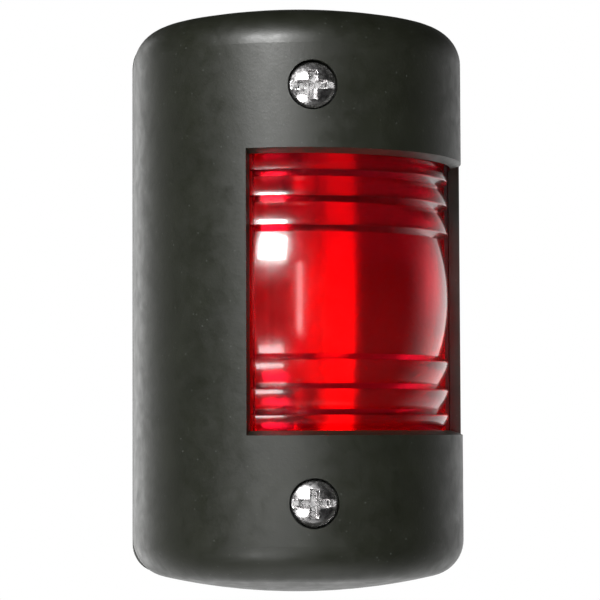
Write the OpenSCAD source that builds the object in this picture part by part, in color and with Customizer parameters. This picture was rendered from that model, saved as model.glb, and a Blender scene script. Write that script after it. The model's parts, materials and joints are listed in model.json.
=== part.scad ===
// Wall-mounted navigation sidelight for a small boat.
// A half-round black housing carries a red drum lens over a vertical festoon bulb.
// The mounting face lies on y = 0, the rounded front looks along -Y, and Z is up.
// The housing, with its lens, pulls forward off the base once its two screws are out.

/* [Housing] */
// Width of the housing across its half-round front
housing_w = 60; // [60:1:63]
// Height of the housing
housing_h = 105; // [105:1:110]
// Distance from the mounting face to the axis of the half-round front
axis_depth = 12; // [12:0.5:14]
// Thickness of the housing's wall
wall = 2; // [1.8:0.1:2.1]
// Radius that rounds the front into each end
end_round = 6.5; // [6:0.5:8]
// Radius of the gently domed ends
dome_r = 110; // [90:10:200]

/* [Window and lens] */
// Height of the window at the housing's outer surface
window_h = 49.5; // [49:0.5:50]
// Height of the lens's and the bulb's centre above the middle of the housing
optics_z = 0.4; // [0:0.1:0.5]
// Angle from the crown to the window's left edge, in degrees
window_left = 22.5; // [20:0.5:25]
// How far the window's upper and lower edges slope inwards through the wall
window_slope = 0.8; // [0.4:0.1:1]
// Half the height of the lens's central barrel
barrel_half = 10.6; // [10:0.1:10.8]
// Height of the prism ring next to the barrel
first_ring_h = 5.1; // [4.6:0.1:5.2]
// Height of each further prism ring as a share of the one before
ring_ratio = 0.885; // [0.84:0.005:0.9]
// How deep the prism rings are cut
ring_depth = 1.5; // [1:0.1:1.6]
// Height of the sloping step between one prism ring and the next
ring_step = 1.1; // [0.8:0.1:1.3]

/* [Fasteners] */
// Distance between the two housing screws
cover_screw_span = 72; // [72:0.5:74]
// Diameter of the housing screws' heads
cover_head_d = 8; // [7.5:0.1:8.2]
// Distance between the two mounting holes in the base
mounting_span = 90; // [90:0.5:92]
// Diameter of each mounting hole
mounting_hole_d = 4.2; // [3.8:0.1:4.4]

/* [Base and cable entry] */
// Thickness of the foam gasket behind the base
gasket_t = 1.5; // [1:0.1:1.6]
// Thickness of the base's flange
flange_t = 2.5; // [2.2:0.1:2.6]
// Diameter of the cable that the grommet takes
cable_d = 5.2; // [4.6:0.1:5.4]

/* [Bulb] */
// Overall length of the festoon bulb
bulb_l = 42; // [42:0.1:42.4]
// Diameter of the bulb's glass
bulb_d = 10.5; // [10:0.1:11]

/* [Hidden] */
$fn = 96;
front_r = housing_w / 2;
base_front = gasket_t + flange_t;
seal_t = 0.8;
cover_rear = base_front + seal_t + 0.05;
crown = axis_depth + front_r;
base_round = end_round - 1.5;
fit_gap = 0.05;

// Base: rim, posts and bosses
rim_inset = wall + 0.35;
rim_t = 1.8;
rim_front = base_front + 4.2;
post_r = 4.3;
post_front = base_front + 7;
carrier_boss_x = -13;
carrier_boss_z = 9;
carrier_boss_r = 3.2;
carrier_boss_front = base_front + 2.9;
grommet_x = -17.5;
grommet_z = -20;
grommet_neck_r = 4;
grommet_flange_r = 5.6;

// M4 housing screws, their inserts and clips
cover_screw_z = cover_screw_span / 2;
m4_r = 1.95;
m4_bore_r = 2;
insert_r = 2.8;
seat_depth = crown - 3.2;
washer_t = 0.8;
head_r = cover_head_d / 2;
head_side = 1.3;
head_dome = 1.3;
head_under = seat_depth + washer_t + 2 * fit_gap;
head_top = head_under + head_side + head_dome;
counterbore_r = head_r + 0.35;
shank_clear_r = m4_r + 0.35;
boss_rear = post_front + 7.6;
clip_rear = post_front + 0.45;
clip_t = 0.8;
groove_r = 1.6;

// Lens, its seal and its clips
window_half = window_h / 2;
inner_r = front_r - wall;
ring_heights = [for (i = [0 : 2]) first_ring_h * pow(ring_ratio, i)];
lens_tip_r = inner_r - 0.4;
lens_valley_r = lens_tip_r - ring_depth;
lens_bore_r = lens_valley_r - 2.1;
lens_flange_r = inner_r - 0.8;
lens_flange_in = lens_flange_r - 2;
lens_half_h = window_half + 3.6;
lens_left = window_left + 8.5;
lens_plain = window_left - 2.5;
tab_rear = rim_front + 1;
clip_angles = [22, 68];
lens_clip_z = lens_half_h + 2.9;
lens_clip_r = lens_flange_in - 0.23;
lens_clip_t = 0.6;
lens_clip_w = 6;
m2_r = 1.1;

// Lamp carrier, contacts and terminals
carrier_rear = base_front + fit_gap;
carrier_front = base_front + 5;
carrier_half_h = 31;
carrier_half_w = 11;
tab_w = 17;
tab_half_h = 13;
trough_r = 6.4;
contact_t = 0.6;
contact_top = 30.6;
arm_z = bulb_l / 2 - 0.4;
arm_front = axis_depth + 5;
arm_half_w = 4;
fork_half_w = 1.9;
terminal_z = 27;
m3_r = 1.5;
m3_bore_r = 1.55;
m3_clear_r = 1.8;
nut_w = 5.5;
nut_t = 2;
clamp_w = 6.4;
clamp_t = 0.8;
clamp_rear = carrier_front + contact_t + 0.04;

// Bulb
glass_r = bulb_d / 2;
glass_t = 0.6;
glass_half = 11.8;
neck_r = 3.7;
neck_half = 15.5;
cap_r = 4.25;
cap_mouth = 13;
cap_shoulder = 17;
cap_tip_r = 1;
filament_half = 8;

// ---- Shared shapes ----

// Right half of the light's outline seen from the front, inset all round, with its own corner radius
module half_outline(inset, corner) {
    half_w = front_r - inset;
    half_h = housing_h / 2 - inset;
    dome = dome_r - inset;
    dome_z = half_h - dome;
    corner_x = half_w - corner;
    corner_z = dome_z + sqrt(pow(dome - corner, 2) - pow(corner_x, 2));
    meet_x = corner_x * dome / (dome - corner);
    translate([0, -corner_z]) square([half_w, 2 * corner_z]);
    for (end = [0, 1]) mirror([0, end]) {
        translate([corner_x, corner_z]) circle(r = corner);
        intersection() {
            translate([0, dome_z]) circle(r = dome, $fn = 360);
            square([meet_x, half_h]);
        }
    }
}

module outline(inset, corner) {
    half_outline(inset, corner);
    mirror([1, 0]) half_outline(inset, corner);
}

// Flat plate of a 2D shape drawn in X and Z, from y = -rear to y = -front
module plate(rear, front) {
    translate([0, -rear, 0]) rotate([90, 0, 0]) linear_extrude(front - rear) children();
}

// Rod along Y from y = -rear to y = -front
module rod(r, rear, front) {
    translate([0, -rear, 0]) rotate([90, 0, 0]) cylinder(r = r, h = front - rear);
}

// Turned shape about Y: its 2D profile has the radius in X and the depth behind the front in Y
module turned() {
    rotate([90, 0, 0]) rotate_extrude() children();
}

// Part of a ring about the lens's axis, from one angle to another, measured from the crown towards +X
module sector(from, to) {
    translate([0, -axis_depth, 0]) rotate([0, 0, from - 90]) rotate_extrude(angle = to - from) children();
}

// Places a shape on the lens's axis at an angle from the crown, with its own +Z pointing outwards
module radially(angle, r, z) {
    translate([0, -axis_depth, 0]) rotate([0, 0, angle]) translate([0, -r, z]) rotate([90, 0, 0]) children();
}

// Solid of the housing's D-shaped form, inset all round, starting at y = -rear
module d_form(inset, rear) {
    sector(-90, 90) half_outline(inset, end_round - inset);
    plate(rear, axis_depth) outline(inset, end_round - inset);
}

// Rectangle given by its limits in X and Y
module span(x0, x1, y0, y1) {
    translate([x0, y0]) square([x1 - x0, y1 - y0]);
}

// Rounded rectangle about the origin
module rounded_rect(half_w, half_h, r) {
    square([2 * half_w, 2 * (half_h - r)], center = true);
    square([2 * (half_w - r), 2 * half_h], center = true);
    for (x = [-1, 1], y = [-1, 1]) translate([x * (half_w - r), y * (half_h - r)]) circle(r = r);
}

// Lower half of an object is the upper half's mirror image
module at_both_ends() {
    for (end = [0, 1]) mirror([0, 0, end]) children();
}

// Lens, bulb and terminals share one centre
module at_optics() {
    translate([0, 0, optics_z]) children();
}

// The two screws of the lamp carrier stand on its tab
module at_carrier_screws() {
    at_optics() for (end = [-1, 1]) translate([carrier_boss_x, 0, end * carrier_boss_z]) children();
}

// Profile of a pan head with a domed top: its underside at depth 0
module pan_head_profile(r, side, dome) {
    ball = (r * r + dome * dome) / (2 * dome);
    square([r, side]);
    intersection() {
        translate([0, side + dome - ball]) circle(r = ball, $fn = 180);
        span(0, r, side / 2, side + dome);
    }
}

// Cross recess with a full-width slot, cut down from depth top
module combination_drive(top, width, slot_w, slot_depth, cross_l, cross_depth) {
    plate(top - slot_depth, top + 1) square([width, slot_w], center = true);
    plate(top - cross_depth, top + 1) square([slot_w, cross_l], center = true);
    plate(top - cross_depth, top + 1) square([cross_l, slot_w], center = true);
}

// ---- Base and what stays on it ----

module mounting_gasket() {
    color("#2b2b2d") difference() {
        plate(0, gasket_t) outline(0, base_round);
        at_both_ends() translate([0, 0, mounting_span / 2]) rod(mounting_hole_d / 2 + 0.3, -1, gasket_t + 1);
        translate([grommet_x, 0, grommet_z]) rod(grommet_flange_r + 0.2, -1, gasket_t + 1);
    }
}

module base_plate() {
    color("#1d1f1e") difference() {
        union() {
            plate(gasket_t, base_front) outline(0, base_round);
            plate(base_front - 1, rim_front) difference() {
                outline(rim_inset, end_round - rim_inset);
                outline(rim_inset + rim_t, end_round - rim_inset - rim_t);
            }
            at_both_ends() translate([0, 0, cover_screw_z]) rod(post_r, base_front - 1, post_front);
            at_carrier_screws() rod(carrier_boss_r, base_front - 1, carrier_boss_front);
        }
        at_both_ends() {
            translate([0, 0, mounting_span / 2]) rod(mounting_hole_d / 2, 0, base_front + 1);
            translate([0, 0, cover_screw_z]) rod(insert_r + fit_gap, base_front - 1, post_front + 1);
        }
        at_carrier_screws() rod(1.3, gasket_t + 0.8, carrier_boss_front + 1);
        translate([grommet_x, 0, grommet_z]) rod(grommet_neck_r + fit_gap, 0, base_front + 1);
    }
}

module cover_seal() {
    color("#232325") plate(base_front, base_front + seal_t) difference() {
        outline(0.5, end_round - 0.5);
        outline(rim_inset - 0.1, end_round - rim_inset + 0.1);
    }
}

module cable_grommet() {
    bore_r = cable_d / 2;
    nose_front = base_front + 7;
    color("#19191b") translate([grommet_x, 0, grommet_z]) turned() difference() {
        union() {
            span(0, grommet_flange_r - 0.1, 0.15, gasket_t - fit_gap);
            span(0, grommet_neck_r, 0.15, base_front + 1);
            span(0, grommet_flange_r, base_front + fit_gap, base_front + 1.6);
            polygon([[0, base_front + 1], [4.6, base_front + 1], [3.4, nose_front], [0, nose_front]]);
        }
        span(-1, bore_r, 0, nose_front + 1);
    }
}

module threaded_inserts() {
    color("#c9a24b") at_both_ends() translate([0, 0, cover_screw_z]) turned() difference() {
        span(m4_bore_r, insert_r, post_front - 6.4, post_front);
        span(insert_r - 0.3, insert_r + 1, post_front - 3.6, post_front - 2.8);
    }
}

module lamp_carrier() {
    color("#e9e7df") difference() {
        at_optics() plate(carrier_rear, carrier_front) {
            rounded_rect(carrier_half_w, carrier_half_h, 1.5);
            translate([-tab_w / 2, 0]) rounded_rect(tab_w / 2, tab_half_h, 2);
        }
        at_optics() translate([0, -axis_depth, 1 - arm_z]) cylinder(r = trough_r, h = 2 * arm_z - 2);
        at_carrier_screws() {
            rod(carrier_boss_r + 0.3, 0, carrier_boss_front + 0.1);
            rod(1.6, 0, carrier_front + 1);
        }
        at_optics() at_both_ends() translate([0, 0, terminal_z]) {
            plate(0, base_front + 2.5) square(nut_w + 0.3, center = true);
            rod(m3_clear_r, 0, carrier_front + 1);
        }
    }
}

module carrier_screws() {
    head_rear = carrier_front + 0.02;
    color("#b9bcc0") at_carrier_screws() difference() {
        union() {
            translate([0, -head_rear, 0]) turned() pan_head_profile(2.7, 0.8, 0.8);
            rod(1.25, gasket_t + 0.9, head_rear + 0.2);
        }
        combination_drive(head_rear + 1.6, 6, 0.7, 0.6, 2.8, 1);
    }
}

module terminal_nuts() {
    color("#c9a24b") at_optics() at_both_ends() translate([0, 0, terminal_z]) difference() {
        plate(base_front + 0.3, base_front + 0.3 + nut_t) square(nut_w, center = true);
        rod(m3_bore_r, base_front, base_front + 0.6 + nut_t);
    }
}

// Side view of the spring strip: its foot, its quarter bend and its arm
module contact_side() {
    foot_rear = carrier_front + 0.02;
    bend_r = 1.4;
    bend_z = arm_z + bend_r;
    span(-foot_rear - contact_t, -foot_rear, bend_z, contact_top);
    span(-arm_front, -foot_rear - bend_r, arm_z, arm_z + contact_t);
    translate([-foot_rear - bend_r, bend_z]) intersection() {
        difference() {
            circle(r = bend_r);
            circle(r = bend_r - contact_t);
        }
        translate([0, -bend_r]) square(bend_r);
    }
}

// Bent spring strip: a foot under the terminal screw and a forked arm that holds the bulb's tip
module contact() {
    color("#c3c5c2") difference() {
        translate([-arm_half_w, 0, 0]) rotate([90, 0, 90]) linear_extrude(2 * arm_half_w) contact_side();
        translate([0, 0, terminal_z]) rod(m3_clear_r, 0, arm_front);
        translate([0, -axis_depth, arm_z - 1]) cylinder(r = fork_half_w, h = 3);
        translate([-fork_half_w, -arm_front - 1, arm_z - 1])
            cube([2 * fork_half_w, arm_front + 1 - axis_depth, 3]);
    }
}

module upper_contact() {
    at_optics() contact();
}

module lower_contact() {
    at_optics() mirror([0, 0, 1]) contact();
}

// ---- Terminal screws and the square clamps that press the wires down ----

module wire_clamp(z) {
    color("#c7c9c4") at_optics() translate([0, 0, z]) difference() {
        plate(clamp_rear, clamp_rear + clamp_t) rounded_rect(clamp_w / 2, clamp_w / 2, 0.6);
        rod(m3_bore_r, clamp_rear - 1, clamp_rear + clamp_t + 1);
    }
}

module terminal_screw(z) {
    under = clamp_rear + clamp_t + 0.02;
    color("#c9a24b") at_optics() translate([0, 0, z]) difference() {
        union() {
            translate([0, -under, 0]) turned() pan_head_profile(2.8, 1, 0.8);
            rod(m3_r, base_front + 0.8, under + 0.2);
        }
        combination_drive(under + 1.8, 6, 0.8, 0.7, 3, 1.1);
    }
}

module upper_wire_clamp() {
    wire_clamp(terminal_z);
}

module lower_wire_clamp() {
    wire_clamp(-terminal_z);
}

module upper_terminal_screw() {
    terminal_screw(terminal_z);
}

module lower_terminal_screw() {
    terminal_screw(-terminal_z);
}

// ---- Bulb ----

module bulb_glass() {
    color("#dfe6e8") at_optics() translate([0, -axis_depth, 0]) rotate_extrude() difference() {
        polygon([
            [0, -neck_half], [neck_r, -neck_half], [neck_r, -cap_mouth], [glass_r, -glass_half],
            [glass_r, glass_half], [neck_r, cap_mouth], [neck_r, neck_half], [0, neck_half]
        ]);
        span(-1, glass_r - glass_t, 0.4 - glass_half, glass_half - 0.4);
        span(-1, neck_r - glass_t, -neck_half - 1, neck_half + 1);
    }
}

module bulb_caps() {
    color("#c9ccd0") at_optics() at_both_ends() translate([0, -axis_depth, 0]) rotate_extrude() {
        span(neck_r + fit_gap, cap_r, cap_mouth + fit_gap, cap_shoulder);
        span(0, cap_r, neck_half + fit_gap, cap_shoulder);
        polygon([[0, cap_shoulder], [cap_r, cap_shoulder], [cap_tip_r, bulb_l / 2], [0, bulb_l / 2]]);
    }
}

module bulb_filament() {
    color("#8d8f93") at_optics() translate([0, -axis_depth, -filament_half])
        cylinder(r = 0.4, h = 2 * filament_half);
}

module filament_supports() {
    color("#a8aaad") at_optics() at_both_ends() translate([0, -axis_depth, filament_half])
        cylinder(r = 0.3, h = neck_half - filament_half);
}

// ---- Housing cover with its lens ----

// Half of the window's section through the wall: its edge slopes inwards
module window_section() {
    through = front_r + 1;
    for (end = [0, 1]) mirror([0, end]) polygon([
        [lens_valley_r, -1], [through, -1], [through, window_half], [front_r, window_half],
        [inner_r, window_half - window_slope], [lens_valley_r, window_half - window_slope]
    ]);
}

// Places of the four clips that hold the lens, at a distance from its axis
module at_lens_clips(distance) {
    at_optics() at_both_ends() for (angle = clip_angles) radially(angle, distance, lens_clip_z) children();
}

module housing_cover() {
    color("#333634") difference() {
        union() {
            difference() {
                d_form(0, cover_rear);
                d_form(wall, cover_rear - 1);
            }
            at_both_ends() translate([0, 0, cover_screw_z]) {
                rod(4.2, boss_rear, crown - wall / 2);
                rod(6, seat_depth - 2.6, crown - wall / 2);
            }
            at_lens_clips(lens_clip_r + 0.05) cylinder(r = 2.6, h = inner_r + 0.5 - lens_clip_r);
        }
        at_optics() sector(-window_left, 90) window_section();
        at_both_ends() translate([0, 0, cover_screw_z]) {
            rod(shank_clear_r, boss_rear - 1, crown + 1);
            rod(counterbore_r, seat_depth, crown + 1);
        }
        at_lens_clips(lens_clip_r - 1) cylinder(r = m2_r + fit_gap, h = 5);
    }
}

// Upper z of each prism ring, counted out from the barrel
function ring_top(i) = i < 0 ? barrel_half : ring_top(i - 1) + ring_heights[i];

// Point on a ring's slightly convex slope: 0 is at its tip and 1 in the next valley
function slope_point(i, t) = [
    lens_tip_r - t * ring_depth + 0.15 * sin(180 * t),
    ring_top(i - 1) + ring_step + t * (ring_heights[i] - ring_step)
];

// One ring: its step, its rounded tip and its slope
function ring_edge(i) = concat(
    [
        [lens_tip_r - 0.3 * ring_depth, ring_top(i - 1) + 0.7 * ring_step],
        [lens_tip_r - 0.05, ring_top(i - 1) + ring_step]
    ],
    [for (t = [0.15, 0.4, 0.6, 0.8, 1]) slope_point(i, t)]
);

// Outer edge of the lens's upper half: its prism rings, then the flange behind the wall
lens_edge = concat(
    [for (i = [0 : len(ring_heights) - 1]) each ring_edge(i)],
    [
        [lens_valley_r, window_half], [lens_flange_r, window_half], [lens_flange_r, lens_half_h],
        [lens_flange_in, lens_half_h], [lens_flange_in, window_half + 1], [lens_bore_r, window_half + 1]
    ]
);

module lens_section() {
    rise = ring_depth - 0.05;
    barrel_r = (barrel_half * barrel_half + rise * rise) / (2 * rise);
    for (end = [0, 1]) mirror([0, end])
        polygon(concat([[lens_bore_r, 0], [lens_valley_r, 0], [lens_valley_r, barrel_half]], lens_edge));
    intersection() {
        translate([lens_tip_r - barrel_r, 0]) circle(r = barrel_r, $fn = 360);
        span(lens_valley_r - 0.5, lens_tip_r + 1, -barrel_half, barrel_half);
    }
}

// Section of a band that joins a slightly thicker one inside its faces
module joining_band(r_in, r_out) {
    span(r_in + 0.02, r_out - 0.02, 0.02 - lens_half_h, lens_half_h - 0.02);
}

// Straight leg that carries a curved band back along the housing's side wall
module side_leg(r_in, r_out) {
    plate(tab_rear, axis_depth + 0.3) joining_band(r_in, r_out);
}

module fresnel_lens() {
    color("#d5121e") at_optics() {
        sector(-lens_plain, 90) lens_section();
        sector(-lens_left, 1 - lens_plain) joining_band(lens_flange_in, lens_flange_r);
        side_leg(lens_flange_in, lens_flange_r);
    }
}

module lens_seal() {
    seal_in = lens_flange_r + fit_gap;
    seal_out = inner_r - fit_gap;
    open_half = window_half + 0.2;
    color("#202022") at_optics() difference() {
        union() {
            sector(-lens_left, 90) span(seal_in, seal_out, -lens_half_h, lens_half_h);
            side_leg(seal_in, seal_out);
        }
        sector(-window_left - 0.6, 91) span(seal_in - 1, seal_out + 1, -open_half, open_half);
    }
}

module lens_clips() {
    color("#c2c5c8") at_lens_clips(lens_clip_r - lens_clip_t) difference() {
        translate([-lens_clip_w / 2, window_half + 1.1 - lens_clip_z, 0])
            cube([lens_clip_w, lens_clip_z + 1.9 - window_half, lens_clip_t]);
        translate([0, 0, -1]) cylinder(r = m2_r + 0.15, h = 3);
    }
}

module lens_clip_screws() {
    head_h = 1.2;
    color("#b9bcc0") at_lens_clips(lens_clip_r - lens_clip_t - 0.02) difference() {
        union() {
            cylinder(r = m2_r, h = 4);
            rotate([180, 0, 0]) cylinder(r = 2, h = head_h);
        }
        translate([0, 0, -head_h]) cube([5, 0.6, 1], center = true);
        translate([0, 0, -head_h]) cube([0.6, 2.4, 1.4], center = true);
    }
}

// ---- Housing screws, which stay captive in the cover ----

module seal_washer(z) {
    color("#1b1b1d") translate([0, 0, z]) turned()
        span(m4_r + 0.08, head_r - 0.1, seat_depth + fit_gap, seat_depth + fit_gap + washer_t);
}

module cover_screw(z) {
    tip = base_front + 1.4;
    color("#d2d4d6") translate([0, 0, z]) difference() {
        union() {
            translate([0, -head_under, 0]) turned() pan_head_profile(head_r, head_side, head_dome);
            turned() polygon([
                [0, tip], [m4_r - 0.5, tip], [m4_r, tip + 0.5], [m4_r, clip_rear - fit_gap],
                [groove_r, clip_rear - fit_gap], [groove_r, clip_rear + clip_t + fit_gap],
                [m4_r, clip_rear + clip_t + fit_gap], [m4_r, head_under + 0.2], [0, head_under + 0.2]
            ]);
        }
        combination_drive(head_top, cover_head_d + 1, 1.3, 1.2, 4.8, 2);
    }
}

module retaining_clip(z) {
    color("#8b8e92") translate([0, 0, z]) difference() {
        turned() span(groove_r + fit_gap, 3.2, clip_rear, clip_rear + clip_t);
        plate(clip_rear - 1, clip_rear + clip_t + 1) translate([0, -1.2]) square([5, 2.4]);
    }
}

module upper_seal_washer() {
    seal_washer(cover_screw_z);
}

module lower_seal_washer() {
    seal_washer(-cover_screw_z);
}

module upper_cover_screw() {
    cover_screw(cover_screw_z);
}

module lower_cover_screw() {
    cover_screw(-cover_screw_z);
}

module upper_retaining_clip() {
    retaining_clip(cover_screw_z);
}

module lower_retaining_clip() {
    retaining_clip(-cover_screw_z);
}

mounting_gasket();
base_plate();
cover_seal();
cable_grommet();
threaded_inserts();
lamp_carrier();
carrier_screws();
terminal_nuts();
upper_contact();
lower_contact();
upper_wire_clamp();
upper_terminal_screw();
lower_wire_clamp();
lower_terminal_screw();
bulb_glass();
bulb_caps();
bulb_filament();
filament_supports();
housing_cover();
fresnel_lens();
lens_seal();
lens_clips();
lens_clip_screws();
upper_seal_washer();
upper_cover_screw();
upper_retaining_clip();
lower_seal_washer();
lower_cover_screw();
lower_retaining_clip();
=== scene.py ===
import json
import math

import bmesh
import bpy
from mathutils import Matrix, Vector


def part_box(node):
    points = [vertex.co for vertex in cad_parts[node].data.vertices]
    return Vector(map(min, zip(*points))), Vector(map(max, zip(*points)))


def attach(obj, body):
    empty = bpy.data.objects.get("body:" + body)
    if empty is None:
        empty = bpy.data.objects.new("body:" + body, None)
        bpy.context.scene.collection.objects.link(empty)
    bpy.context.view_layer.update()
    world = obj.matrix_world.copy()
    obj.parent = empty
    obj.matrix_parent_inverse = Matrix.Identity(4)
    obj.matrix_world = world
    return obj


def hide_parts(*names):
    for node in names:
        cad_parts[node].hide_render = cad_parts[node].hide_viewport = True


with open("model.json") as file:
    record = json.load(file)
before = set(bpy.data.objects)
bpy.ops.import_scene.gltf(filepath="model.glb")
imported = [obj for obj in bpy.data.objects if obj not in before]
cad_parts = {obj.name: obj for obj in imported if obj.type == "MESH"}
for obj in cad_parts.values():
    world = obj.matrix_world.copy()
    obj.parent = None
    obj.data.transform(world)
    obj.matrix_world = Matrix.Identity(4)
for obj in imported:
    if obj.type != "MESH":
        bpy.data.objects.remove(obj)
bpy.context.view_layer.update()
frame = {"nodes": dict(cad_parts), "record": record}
NODES = frame["nodes"]
MM = 0.001


# ---------------------------------------------------------------- camera, stage and lights

def add_camera():
    """Camera a little left of the light and below its middle, tilted slightly up."""
    image_px, focal_px, sensor_mm = 600, 2462.7, 36.0
    yaw, pitch, roll = 0.0918, 0.0547, -0.004
    data = bpy.data.cameras.new("camera")
    data.sensor_width = sensor_mm
    data.lens = focal_px / image_px * sensor_mm
    data.clip_start, data.clip_end = 0.02, 30.0
    camera = bpy.data.objects.new("camera", data)
    bpy.context.scene.collection.objects.link(camera)
    camera.location = Vector((-40.97, -461.18, -24.26)) * MM
    forward = Vector((math.sin(yaw) * math.cos(pitch), math.cos(yaw) * math.cos(pitch), math.sin(pitch)))
    facing = forward.to_track_quat("-Z", "Y").to_matrix() @ Matrix.Rotation(roll, 3, "Z")
    camera.rotation_mode = "QUATERNION"
    camera.rotation_quaternion = facing.to_quaternion()
    bpy.context.scene.camera = camera


def softbox(name, azimuth, elevation, distance, size, power):
    """White softbox that the lamp sees at an azimuth (positive to the right) and an elevation."""
    a, e = math.radians(azimuth), math.radians(elevation)
    away = Vector((math.sin(a) * math.cos(e), -math.cos(a) * math.cos(e), math.sin(e)))
    data = bpy.data.lights.new(name, "AREA")
    data.shape = "RECTANGLE"
    data.size, data.size_y = size
    data.energy = power
    light = bpy.data.objects.new(name, data)
    bpy.context.scene.collection.objects.link(light)
    light.location = Vector((0, -0.035, 0)) + away * distance
    light.visible_camera = False
    light.rotation_mode = "QUATERNION"
    light.rotation_quaternion = away.to_track_quat("Z", "Y")


def add_world():
    """White sweep behind and under the light, a dim room in front of it and above."""
    world = bpy.data.worlds.new("studio")
    bpy.context.scene.world = world
    world.use_nodes = True
    tree = world.node_tree
    tree.nodes.clear()
    coord = tree.nodes.new("ShaderNodeTexCoord")
    split = tree.nodes.new("ShaderNodeSeparateXYZ")
    tree.links.new(coord.outputs["Generated"], split.inputs[0])

    def ramped(axis, low, high):
        """0 to 1 as a direction's part along one axis goes from low to high."""
        span = tree.nodes.new("ShaderNodeMapRange")
        span.interpolation_type = "SMOOTHSTEP"
        span.inputs["From Min"].default_value = low
        span.inputs["From Max"].default_value = high
        tree.links.new(split.outputs[axis], span.inputs["Value"])
        return span.outputs["Result"]

    def combined(operation, first, second):
        made = tree.nodes.new("ShaderNodeMath")
        made.operation = operation
        tree.links.new(first, made.inputs[0])
        tree.links.new(second, made.inputs[1])
        return made.outputs[0]

    behind = combined("MULTIPLY", ramped("Y", -0.10, 0.90), ramped("Z", 0.45, -0.05))
    glow = combined("MAXIMUM", behind, ramped("Z", -0.72, -1.0))
    level = tree.nodes.new("ShaderNodeMapRange")
    level.inputs["To Min"].default_value = 0.012
    level.inputs["To Max"].default_value = 1.25
    tree.links.new(glow, level.inputs["Value"])
    room = tree.nodes.new("ShaderNodeBackground")
    room.inputs["Color"].default_value = (1, 1, 1, 1)
    tree.links.new(level.outputs["Result"], room.inputs["Strength"])
    seen = tree.nodes.new("ShaderNodeBackground")
    seen.inputs["Color"].default_value = (1, 1, 1, 1)
    path = tree.nodes.new("ShaderNodeLightPath")
    pick = tree.nodes.new("ShaderNodeMixShader")
    tree.links.new(path.outputs["Is Camera Ray"], pick.inputs[0])
    tree.links.new(room.outputs[0], pick.inputs[1])
    tree.links.new(seen.outputs[0], pick.inputs[2])
    out = tree.nodes.new("ShaderNodeOutputWorld")
    tree.links.new(pick.outputs[0], out.inputs["Surface"])


def add_floor():
    """Plain pale floor, well under the light. Gloss reflects the sweep around it instead."""
    half, depth = 3.0, -0.30
    mesh = bpy.data.meshes.new("floor")
    mesh.from_pydata([(-half, -half, depth), (half, -half, depth), (half, half, depth), (-half, half, depth)],
                     [], [(0, 1, 2, 3)])
    floor = bpy.data.objects.new("floor", mesh)
    bpy.context.scene.collection.objects.link(floor)
    paint = bpy.data.materials.new("floor_paint")
    paint.use_nodes = True
    shader = paint.node_tree.nodes["Principled BSDF"]
    shader.inputs["Base Color"].default_value = (0.86, 0.86, 0.86, 1)
    shader.inputs["Roughness"].default_value = 0.8
    shader.inputs["Emission Color"].default_value = (1, 1, 1, 1)
    shader.inputs["Emission Strength"].default_value = 0.92
    mesh.materials.append(paint)
    floor.visible_glossy = False


def add_lights():
    scene = bpy.context.scene
    scene.view_settings.view_transform = "Standard"
    scene.view_settings.exposure = 0.0
    add_world()
    add_floor()
    softbox("key", -26, 27, 1.2, (0.42, 0.27), 24)
    softbox("edge", -150, 0, 1.5, (0.5, 1.4), 4.5)
    softbox("low", -32, -30, 0.5, (0.22, 0.09), 0.8)
    softbox("strip", -4, 0, 1.1, (0.07, 0.75), 1.4)


# ---------------------------------------------------------------- materials

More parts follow.
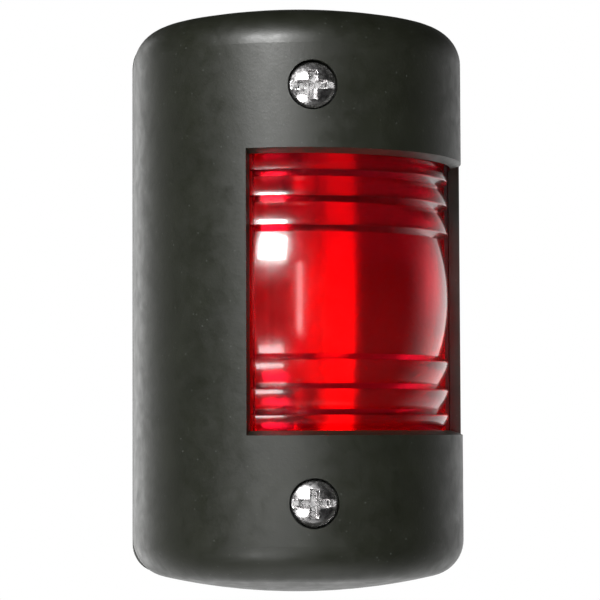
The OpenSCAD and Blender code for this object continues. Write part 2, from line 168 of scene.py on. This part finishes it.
class Finish:
    """A Principled material whose colour, roughness and bump come from procedural textures."""

    def __init__(self, name, **sockets):
        self.material = bpy.data.materials.new(name)
        self.material.use_nodes = True
        self.tree = self.material.node_tree
        self.shader = self.tree.nodes["Principled BSDF"]
        self.output = self.tree.nodes["Material Output"]
        self.coord = self.tree.nodes.new("ShaderNodeTexCoord").outputs["Object"]
        self.normal = None
        for socket, value in sockets.items():
            self.shader.inputs[socket.replace("_", " ")].default_value = value

    def add(self, kind, **settings):
        made = self.tree.nodes.new(kind)
        for key, value in settings.items():
            setattr(made, key, value)
        return made

    def link(self, source, target):
        self.tree.links.new(source, target)

    def noise(self, per_mm, detail=4.0, stretch=(1, 1, 1), roughness=0.55, distortion=0.0):
        """Noise with about this many features for each millimetre."""
        scaled = self.add("ShaderNodeMapping")
        scaled.inputs["Scale"].default_value = stretch
        self.link(self.coord, scaled.inputs["Vector"])
        made = self.add("ShaderNodeTexNoise")
        made.inputs["Scale"].default_value = per_mm / MM
        made.inputs["Detail"].default_value = detail
        made.inputs["Roughness"].default_value = roughness
        made.inputs["Distortion"].default_value = distortion
        self.link(scaled.outputs["Vector"], made.inputs["Vector"])
        return made.outputs["Fac"]

    def cells(self, per_mm):
        """Distance to the nearest of about this many scattered points for each millimetre."""
        made = self.add("ShaderNodeTexVoronoi")
        made.inputs["Scale"].default_value = per_mm / MM
        self.link(self.coord, made.inputs["Vector"])
        return made.outputs["Distance"]

    def span(self, source, low, high, to_low=0.0, to_high=1.0):
        made = self.add("ShaderNodeMapRange")
        for key, value in (("From Min", low), ("From Max", high), ("To Min", to_low), ("To Max", to_high)):
            made.inputs[key].default_value = value
        self.link(source, made.inputs["Value"])
        return made.outputs["Result"]

    def colours(self, source, *stops):
        """Base colour between two (position, colour) stops along a texture."""
        made = self.add("ShaderNodeValToRGB")
        for element, (position, colour) in zip(made.color_ramp.elements, stops):
            element.position = position
            element.color = (*colour, 1)
        self.link(source, made.inputs["Fac"])
        self.link(made.outputs["Color"], self.shader.inputs["Base Color"])
        return made.outputs["Color"]

    def dusted_and_glinting(self, base, mask, colour):
        """Base colour with another colour laid over it where the mask is high."""
        mix = self.add("ShaderNodeMix", data_type="RGBA")
        self.link(mask, mix.inputs["Factor"])
        self.link(base, mix.inputs[6])
        mix.inputs[7].default_value = (*colour, 1)
        self.link(mix.outputs[2], self.shader.inputs["Base Color"])
        return mix.outputs[2]

    def roughness(self, source, low, high):
        self.link(self.span(source, 0.3, 0.7, low, high), self.shader.inputs["Roughness"])

    def bump(self, source, height_mm, strength=1.0):
        made = self.add("ShaderNodeBump")
        made.inputs["Strength"].default_value = strength
        made.inputs["Distance"].default_value = height_mm * MM
        self.link(source, made.inputs["Height"])
        if self.normal is not None:
            self.link(self.normal, made.inputs["Normal"])
        self.normal = made.outputs["Normal"]
        self.link(self.normal, self.shader.inputs["Normal"])

    def lets_lamps_through(self, tint):
        """Direct light reaches what is behind the glass, tinted as it passes."""
        clear = self.add("ShaderNodeBsdfTransparent")
        clear.inputs["Color"].default_value = (*tint, 1)
        path = self.add("ShaderNodeLightPath")
        pick = self.add("ShaderNodeMixShader")
        self.link(path.outputs["Is Shadow Ray"], pick.inputs[0])
        self.link(self.shader.outputs[0], pick.inputs[1])
        self.link(clear.outputs[0], pick.inputs[2])
        self.link(pick.outputs[0], self.output.inputs["Surface"])


def moulded_plastic(name, dark, light, rough, grain_mm=0.012, dust_and_glint=None):
    made = Finish(name, IOR=1.5)
    base = made.colours(made.noise(0.16, 5), (0.3, dark), (0.72, light))
    # Light specks over the whole housing: dust specks and painted glints, standing in for the sparkle of the
    # moulded grain.
    if dust_and_glint:
        dust_and_glint_dots = made.span(made.cells(0.55), 0.11, 0.03)
        made.dusted_and_glinting(base, dust_and_glint_dots, dust_and_glint)
    made.roughness(made.noise(0.35, 6, distortion=0.4), *rough)
    made.bump(made.noise(2.6, 3), grain_mm, 0.55)
    made.bump(made.cells(1.3), grain_mm * 0.8, 0.35)
    return made.material


def metal(name, dark, light, rough, stretch=(1, 1, 1), streaks=1.2, relief_mm=0.004):
    made = Finish(name, Metallic=1.0)
    made.colours(made.noise(0.5, 5), (0.3, dark), (0.7, light))
    marks = made.noise(streaks, 6, stretch)
    made.roughness(marks, *rough)
    made.bump(marks, relief_mm, 0.4)
    return made.material


def foam_material():
    made = Finish("closed_cell_foam", Roughness=0.95, Specular_IOR_Level=0.2)
    pores = made.cells(1.6)
    # The colour is darkest in the pits of the pores: painted shade in the pits.
    made.colours(pores, (0.05, (0.012, 0.012, 0.013)), (0.5, (0.040, 0.040, 0.042)))
    made.bump(pores, 0.12, 0.8)
    made.bump(made.noise(4, 4), 0.05, 0.5)
    return made.material


def rubber_material():
    made = Finish("black_rubber", Specular_IOR_Level=0.35)
    made.colours(made.noise(0.8, 6), (0.3, (0.010, 0.010, 0.011)), (0.75, (0.026, 0.026, 0.028)))
    made.roughness(made.noise(0.9, 5), 0.5, 0.72)
    made.bump(made.noise(3.2, 4), 0.01, 0.6)
    return made.material


def red_lens_material():
    made = Finish("red_acrylic", Transmission_Weight=0.985, IOR=1.49, Specular_IOR_Level=0.3,
                  Coat_Weight=0.35, Coat_Roughness=0.08)
    made.colours(made.noise(0.05, 3), (0.3, (0.84, 0.005, 0.026)), (0.7, (0.90, 0.008, 0.034)))
    made.roughness(made.noise(0.4, 5), 0.15, 0.21)
    made.bump(made.noise(0.22, 2), 0.012, 0.25)
    made.lets_lamps_through((0.92, 0.012, 0.028))
    return made.material


def bulb_glass_material():
    made = Finish("bulb_glass", Transmission_Weight=1.0, IOR=1.45)
    made.colours(made.noise(0.1, 3), (0.3, (0.97, 0.98, 0.98)), (0.7, (1.0, 1.0, 1.0)))
    made.roughness(made.noise(0.3, 4), 0.0, 0.03)
    made.bump(made.noise(0.25, 2), 0.015, 0.3)
    made.lets_lamps_through((0.96, 0.97, 0.97))
    return made.material


def carrier_material():
    made = Finish("white_plastic", IOR=1.49)
    made.colours(made.noise(0.2, 5), (0.3, (0.80, 0.79, 0.75)), (0.7, (0.88, 0.87, 0.83)))
    made.roughness(made.noise(0.5, 5), 0.28, 0.42)
    made.bump(made.noise(2.0, 4), 0.006, 0.5)
    return made.material


def all_materials():
    return {
        "housing_plastic": moulded_plastic(
            "housing_plastic", (0.0056, 0.0064, 0.0034), (0.0084, 0.0094, 0.0056), (0.38, 0.50),
            # Colour of the light specks: dust and painted glints.
            grain_mm=0.022, dust_and_glint=(0.030, 0.033, 0.028)),
        "base_plastic": moulded_plastic("base_plastic", (0.018, 0.020, 0.018), (0.028, 0.030, 0.028),
                                        (0.46, 0.6)),
        "foam": foam_material(),
        "seal_rubber": rubber_material(),
        "red_lens": red_lens_material(),
        "carrier_plastic": carrier_material(),
        "brass": metal("brass", (0.62, 0.43, 0.17), (0.80, 0.60, 0.28), (0.18, 0.34)),
        "zinc_steel": metal("zinc_steel", (0.50, 0.52, 0.55), (0.66, 0.66, 0.64), (0.24, 0.4)),
        "spring_metal": metal("spring_metal", (0.60, 0.60, 0.58), (0.74, 0.73, 0.70), (0.16, 0.34),
                              stretch=(8, 1, 1)),
        "polished_steel": metal("polished_steel", (0.60, 0.59, 0.59), (0.82, 0.80, 0.80), (0.18, 0.34),
                                streaks=1.6, relief_mm=0.002),
        "bulb_glass": bulb_glass_material(),
        "nickel_cap": metal("nickel_cap", (0.62, 0.61, 0.58), (0.78, 0.77, 0.74), (0.12, 0.26),
                            stretch=(1, 1, 6)),
        "filament_wire": metal("filament_wire", (0.34, 0.33, 0.33), (0.55, 0.54, 0.53), (0.25, 0.4)),
    }


# ---------------------------------------------------------------- meshes

def face_outwards(build):
    """Recalculated normals can all point inwards on a long thin shape, so the volume's sign decides."""
    bmesh.ops.recalc_face_normals(build, faces=build.faces)
    if build.calc_volume(signed=True) < 0:
        bmesh.ops.reverse_faces(build, faces=build.faces)


def piece(name, verts, faces, body, slot, replaces=(), sharp=35.0):
    """New mesh object, in millimetres, that rides on a body and stands for CAD nodes."""
    mesh = bpy.data.meshes.new(name)
    mesh.from_pydata([Vector(v) * MM for v in verts], [], faces)
    build = bmesh.new()
    build.from_mesh(mesh)
    bmesh.ops.remove_doubles(build, verts=build.verts, dist=1e-7)
    face_outwards(build)
    build.to_mesh(mesh)
    build.free()
    mesh.polygons.foreach_set("use_smooth", [True] * len(mesh.polygons))
    mesh.set_sharp_from_angle(angle=math.radians(sharp))
    made = bpy.data.objects.new(name, mesh)
    bpy.context.scene.collection.objects.link(made)
    mesh.materials.append(MATERIALS[slot])
    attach(made, body)
    if replaces:
        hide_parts(*replaces)
    return made


def sweep(section, frames):
    """Closed section carried through a list of placing functions, with its ends capped."""
    n = len(section)
    verts = [place(*p) for place in frames for p in section]
    faces = []
    for k in range(len(frames) - 1):
        a, b = k * n, (k + 1) * n
        faces += [(a + i, a + (i + 1) % n, b + (i + 1) % n, b + i) for i in range(n)]
    faces += [tuple(range(n)), tuple(range(len(verts) - n, len(verts)))]
    return verts, faces


def joined(*parts):
    """Several (verts, faces) as one."""
    verts, faces = [], []
    for more_verts, more_faces in parts:
        start = len(verts)
        verts += more_verts
        faces += [tuple(start + i for i in face) for face in more_faces]
    return verts, faces


def welded(*parts):
    """Several closed (verts, faces) united as one closed surface, with nothing buried inside it."""
    solids = []
    for verts, faces in parts:
        mesh = bpy.data.meshes.new("weld")
        mesh.from_pydata(verts, [], faces)
        build = bmesh.new()
        build.from_mesh(mesh)
        bmesh.ops.remove_doubles(build, verts=build.verts, dist=1e-4)
        face_outwards(build)
        build.to_mesh(mesh)
        build.free()
        solids.append(bpy.data.objects.new("weld", mesh))
        bpy.context.scene.collection.objects.link(solids[-1])
    for other in solids[1:]:
        union = solids[0].modifiers.new("union", "BOOLEAN")
        union.operation, union.solver, union.object = "UNION", "EXACT", other
    result = bpy.data.meshes.new_from_object(solids[0].evaluated_get(bpy.context.evaluated_depsgraph_get()))
    shape = [tuple(v.co) for v in result.vertices], [tuple(f.vertices) for f in result.polygons]
    for mesh in [solid.data for solid in solids] + [result]:
        bpy.data.meshes.remove(mesh)
    return shape


def centre_mm(node):
    low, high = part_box(node)
    return [(a + b) / 2 / MM for a, b in zip(low, high)]


# Lens, in millimetres and degrees about the drum's axis. It repeats the CAD's sizes, except that the
# ringed part starts at PLAIN_ANGLE, 2.7 degrees further left, so no plain strip shows beside the window.
TIP_R, VALLEY_R, BORE_R = 27.6, 26.1, 24.0
FLANGE_R, FLANGE_IN = 27.2, 25.2
LENS_HALF, WINDOW_HALF, BARREL_HALF = 28.35, 24.75, 10.6
FIRST_RING, RING_RATIO, STEP = 5.1, 0.885, 1.1
RING_HEIGHTS = [FIRST_RING * RING_RATIO ** i for i in range(3)]
PLAIN_ANGLE, LEFT_ANGLE, TAB_REAR = 22.7, 31.0, 9.2


def lens_half_section():
    """Outer edge of the lens's upper half, from the barrel's middle to the flange's inner corner."""
    rise = TIP_R - VALLEY_R - 0.05
    barrel = (BARREL_HALF ** 2 + rise ** 2) / (2 * rise)
    edge = []
    for k in range(19):
        z = BARREL_HALF * k / 18
        edge.append((VALLEY_R + rise - barrel + math.sqrt(barrel ** 2 - z ** 2), z))
    low = BARREL_HALF
    depth = TIP_R - VALLEY_R
    for height in RING_HEIGHTS:
        edge += [(VALLEY_R + 0.10, low + 0.02), (TIP_R - 0.62, low + 0.66), (TIP_R - 0.33, low + 0.84),
                 (TIP_R - 0.13, low + 0.98), (TIP_R - 0.06, low + 1.14)]
        for k in range(1, 11):
            t = 0.08 + 0.92 * k / 10
            edge.append((TIP_R - t * depth + 0.15 * math.sin(math.pi * t), low + STEP + t * (height - STEP)))
        low += height
    edge += [(VALLEY_R, WINDOW_HALF), (FLANGE_R - 0.2, WINDOW_HALF), (FLANGE_R, WINDOW_HALF + 0.2),
             (FLANGE_R, LENS_HALF - 0.3), (FLANGE_R - 0.3, LENS_HALF), (FLANGE_IN + 0.3, LENS_HALF),
             (FLANGE_IN, LENS_HALF - 0.3), (FLANGE_IN, WINDOW_HALF + 1.2), (FLANGE_IN - 0.2, WINDOW_HALF + 1),
             (BORE_R + 0.2, WINDOW_HALF + 1), (BORE_R, WINDOW_HALF + 0.8)]
    return edge


def lens_piece():
    _, axis_y, axis_z = centre_mm("bulb_glass")

    def at_angle(angle):
        s, c = math.sin(math.radians(angle)), math.cos(math.radians(angle))
        return lambda r, z: (r * s, axis_y - r * c, axis_z + z)

    def behind(distance):
        return lambda r, z: (r, axis_y + distance, axis_z + z)

    half = lens_half_section()
    section = half + [(r, -z) for r, z in reversed(half[1:])]
    turn = (90 + PLAIN_ANGLE) / 112
    body = sweep(section, [at_angle(-PLAIN_ANGLE + turn * k) for k in range(113)])
    h = LENS_HALF - 0.02
    upper = [(FLANGE_R - 0.02, h - 0.3), (FLANGE_R - 0.3, h), (FLANGE_IN + 0.3, h),
             (FLANGE_IN + 0.02, h - 0.3)]
    band = upper + [(r, -z) for r, z in reversed(upper)]
    left = sweep(band, [at_angle(-LEFT_ANGLE + k) for k in range(10)])
    leg = sweep(band, [behind(-0.02), behind(1.2), behind(-axis_y - TAB_REAR)])
    return piece("red_lens", *welded(body, left, leg), "cover", "red_lens", ["fresnel_lens"], sharp=28)


def thread(root, crest, pitch, start, end, around=28):
    """Rings of a thread about the Y axis, from one depth to another."""
    steps = int((end - start) / pitch * 8)
    verts = []
    for k in range(steps + 1):
        depth = start + (end - start) * k / steps
        taper = min(1.0, (depth - start) / (1.2 * pitch) + 0.1, (end - depth) / (1.2 * pitch) + 0.1)
        for i in range(around):
            turn = i / around
            wave = abs((depth / pitch - turn) % 1.0 * 2 - 1)
            lift = min(1.0, max(0.0, (wave - 0.15) / 0.6))
            r = root + (crest - root) * lift * taper
            verts.append((r * math.cos(2 * math.pi * turn), -depth, r * math.sin(2 * math.pi * turn)))
    return verts


def plain(r, depth, around=28):
    """One round ring about the Y axis."""
    turns = [2 * math.pi * i / around for i in range(around)]
    return [(r * math.cos(t), -depth, r * math.sin(t)) for t in turns]


def shank(verts, around=28):
    """Rings in order of depth, skinned as one closed surface."""
    faces = []
    for k in range(len(verts) // around - 1):
        for i in range(around):
            a, b = k * around + i, k * around + (i + 1) % around
            faces.append((a, b, b + around, a + around))
    faces += [tuple(range(around)), tuple(range(len(verts) - around, len(verts)))]
    return verts, faces


def turned(profile, around=64):
    """Solid of revolution about the Y axis from (radius, depth) points that start and end on the axis."""
    frames = []
    for i in range(around):
        c, s = math.cos(2 * math.pi * i / around), math.sin(2 * math.pi * i / around)
        frames.append(lambda r, d, c=c, s=s: (r * c, -d, r * s))
    n = len(profile)
    verts = [place(*p) for place in frames for p in profile]
    faces = []
    for k in range(around):
        a, b = k * n, (k + 1) % around * n
        faces += [(a + i, a + i + 1, b + i + 1, b + i) for i in range(n - 1)]
    return verts, faces


def smoothstep(low, high, x):
    t = min(1.0, max(0.0, (x - low) / (high - low)))
    return t * t * (3 - 2 * t)


def recessed_head(r, side, dome, under, slot_w, slot_depth, cross_l, cross_depth, soft, rings=72, around=160):
    """Domed head whose slot and cross are pressed in with soft edges."""
    ball = (r * r + dome * dome) / (2 * dome)

    def surface(x, z):
        rr = math.hypot(x, z)
        top = side + dome - ball + math.sqrt(max(0.0, ball * ball - rr * rr))
        slot = 1 - smoothstep(slot_w / 2 - soft, slot_w / 2 + soft, abs(z))
        arm_x = 1 - smoothstep(slot_w / 2 - soft, slot_w / 2 + soft, abs(x))
        long_z = 1 - smoothstep(cross_l / 2 - soft, cross_l / 2 + soft, abs(z))
        long_x = 1 - smoothstep(cross_l / 2 - soft, cross_l / 2 + soft, abs(x))
        cross = max(arm_x * long_z, slot * long_x)
        slot_floor = side + dome - slot_depth
        cross_floor = side + dome - cross_depth
        cut = top + min(0.0, slot_floor - top) * slot
        return cut + min(0.0, cross_floor - cut) * cross

    verts, faces = [(0, -(under + surface(0, 0)), 0)], []
    radii = [r * (k + 1) / rings for k in range(rings - 1)] + [r - 0.06, r]
    for k, rr in enumerate(radii):
        for i in range(around):
            x, z = rr * math.cos(2 * math.pi * i / around), rr * math.sin(2 * math.pi * i / around)
            drop = 0.10 if k == len(radii) - 1 else 0.0
            verts.append((x, -(under + max(0.2, surface(x, z) - drop)), z))
    for i in range(around):
        faces.append((0, 1 + i, 1 + (i + 1) % around))
    for k in range(len(radii) - 1):
        a = 1 + k * around
        for i in range(around):
            j = (i + 1) % around
            faces.append((a + i, a + around + i, a + around + j, a + j))
    last = 1 + (len(radii) - 1) * around
    for ring_r, depth in ((r, 0.12), (r - 0.12, 0.0)):
        for i in range(around):
            verts.append((ring_r * math.cos(2 * math.pi * i / around), -(under + depth),
                          ring_r * math.sin(2 * math.pi * i / around)))
    for base in (last, last + around):
        for i in range(around):
            j = (i + 1) % around
            faces.append((base + i, base + around + i, base + around + j, base + j))
    faces.append(tuple(range(last + 2 * around, last + 3 * around)))
    return verts, faces


def moved(part, x, z):
    verts, faces = part
    return [(a + x, b, c + z) for a, b, c in verts], faces


def cover_screw_piece(end):
    """Housing screw: a polished pan head on an M4 thread, with a groove for its clip."""
    node = end + "_cover_screw"
    low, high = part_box(node)
    x, _, z = centre_mm(node)
    top, tip = -low[1] / MM, -high[1] / MM
    under = top - 2.6
    root, crest, pitch, sides = 1.56, 1.95, 0.7, 40
    groove_rear, groove_front, groove_r = 11.4, 12.3, 1.53
    neck_start = under - 4.2
    head = recessed_head(4.0, 1.3, 1.3, under, 1.3, 1.2, 4.8, 2.0, 0.13)
    rings = plain(1.1, tip, sides) + plain(1.5, tip + 0.5, sides)
    rings += thread(root, crest, pitch, tip + 0.55, groove_rear, sides)
    rings += plain(groove_r, groove_rear + 0.02, sides) + plain(groove_r, groove_front - 0.02, sides)
    rings += thread(root, crest, pitch, groove_front, neck_start, sides)
    rings += plain(1.7, under - 4.15, sides) + plain(crest, under - 3.9, sides)
    rings += plain(crest, under + 0.1, sides)
    shape = moved(welded(head, shank(rings, sides)), x, z)
    return piece(end + "_housing_screw", *shape, end + "_screw", "polished_steel", [node], sharp=40)


def filament_piece():
    """Coiled filament strung between the two lead wires, bowed a little in the middle."""
    cx, cy, cz = centre_mm("bulb_glass")
    half, coil_r, wire_r, turns, per_turn, bow = 7.6, 0.36, 0.085, 26, 14, 0.35
    path = []
    for k in range(turns * per_turn + 1):
        t = k / (turns * per_turn)
        z = -half + 2 * half * t
        a = 2 * math.pi * turns * t
        sag = bow * (1 - (2 * t - 1) ** 2)
        path.append(Vector((cx + coil_r * math.cos(a), cy + coil_r * math.sin(a) + sag, cz + z)))
    coil = tube(path, wire_r, 7)
    return piece("filament_coil", *coil, "bulb", "filament_wire", ["bulb_filament"], sharp=50)


def tube(path, radius, around):
    """Round wire along a path."""
    verts, faces = [], []
    side = None
    for k, point in enumerate(path):
        along = (path[min(k + 1, len(path) - 1)] - path[max(k - 1, 0)]).normalized()
        if side is None:
            side = along.orthogonal().normalized()
        side = (side - along * side.dot(along)).normalized()
        up = along.cross(side)
        for i in range(around):
            a = 2 * math.pi * i / around
            verts.append(tuple(point + side * (radius * math.cos(a)) + up * (radius * math.sin(a))))
    for k in range(len(path) - 1):
        for i in range(around):
            a, b = k * around + i, k * around + (i + 1) % around
            faces.append((a, b, b + around, a + around))
    faces += [tuple(range(around)), tuple(range(len(verts) - around, len(verts)))]
    return verts, faces


def support_piece():
    """Lead wire at each end: straight in the neck, then a hook round the coil, set in a glass bead."""
    cx, cy, cz = centre_mm("bulb_glass")
    parts = []
    for end in (-1, 1):
        stem = [Vector((cx, cy, cz + end * z)) for z in (15.3, 13.0, 11.0)]
        hook = [Vector((cx, cy + 0.9 * math.sin(math.pi * k / 12), cz + end * (10.6 - 0.25 * k)))
                for k in range(13)]
        wire = tube(stem + hook, 0.22, 10)
        turns = [math.pi * k / 10 for k in range(1, 10)]
        bead = [(0, -1.0)] + [(0.62 * math.sin(t), -math.cos(t)) for t in turns] + [(0, 1.0)]
        verts, faces = turned(bead, 24)
        glass = [(cx + x, cy + z, cz + end * 12.0 + y) for x, y, z in verts], faces
        parts.append(welded(wire, glass))
    return piece("lead_wires", *joined(*parts), "bulb", "filament_wire", ["filament_supports"], sharp=50)


def cap_profile():
    """Bulb cap as (radius, height): a rolled lip, a straight skirt, a round shoulder and a blunt tip."""
    lip = [(3.80, 13.15), (4.05, 13.05), (4.22, 13.15), (4.22, 13.6), (4.10, 13.8), (4.10, 16.3)]
    bends = [math.radians(a) for a in range(10, 61, 10)]
    shoulder = [(3.2 + 0.95 * math.cos(a), 16.35 + 0.95 * math.sin(a)) for a in bends]
    tips = [math.radians(a) for a in range(70, 0, -14)]
    nose = [(math.sin(a), 20.0 + 0.95 * math.cos(a)) for a in tips]
    return [(0, 15.6), (3.80, 15.6)] + lip + shoulder + nose + [(0, 20.95)]


def caps_piece():
    cx, cy, cz = centre_mm("bulb_glass")
    parts = []
    for end in (-1, 1):
        verts, faces = turned(cap_profile(), 64)
        parts.append(([(cx + x, cy + z, cz - end * y) for x, y, z in verts], faces))
    return piece("end_caps", *joined(*parts), "bulb", "nickel_cap", ["bulb_caps"], sharp=32)


def terminal_screw_piece(end):
    """Terminal screw: a small pan head on an M3 thread."""
    node = end + "_terminal_screw"
    low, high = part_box(node)
    x, _, z = centre_mm(node)
    top, tip = -low[1] / MM, -high[1] / MM
    under = top - 1.8
    head = recessed_head(2.8, 1.0, 0.8, under, 0.8, 0.7, 3.0, 1.1, 0.09, rings=40, around=96)
    stem = shank(thread(1.2, 1.5, 0.5, tip, under + 0.1))
    shape = moved(welded(head, stem), x, z)
    return piece(end + "_wire_screw", *shape, end + "_terminal", "brass", [node], sharp=40)


# ---------------------------------------------------------------- the scene

add_camera()
add_lights()
MATERIALS = all_materials()
SLOTS = {row["node"]: row["material_slot"] for row in frame["record"]["subparts"]}
for name, node in NODES.items():
    node.data.materials.clear()
    node.data.materials.append(MATERIALS[SLOTS[name]])

lens_piece()
for end in ("upper", "lower"):
    cover_screw_piece(end)
    terminal_screw_piece(end)
filament_piece()
support_piece()
caps_piece()
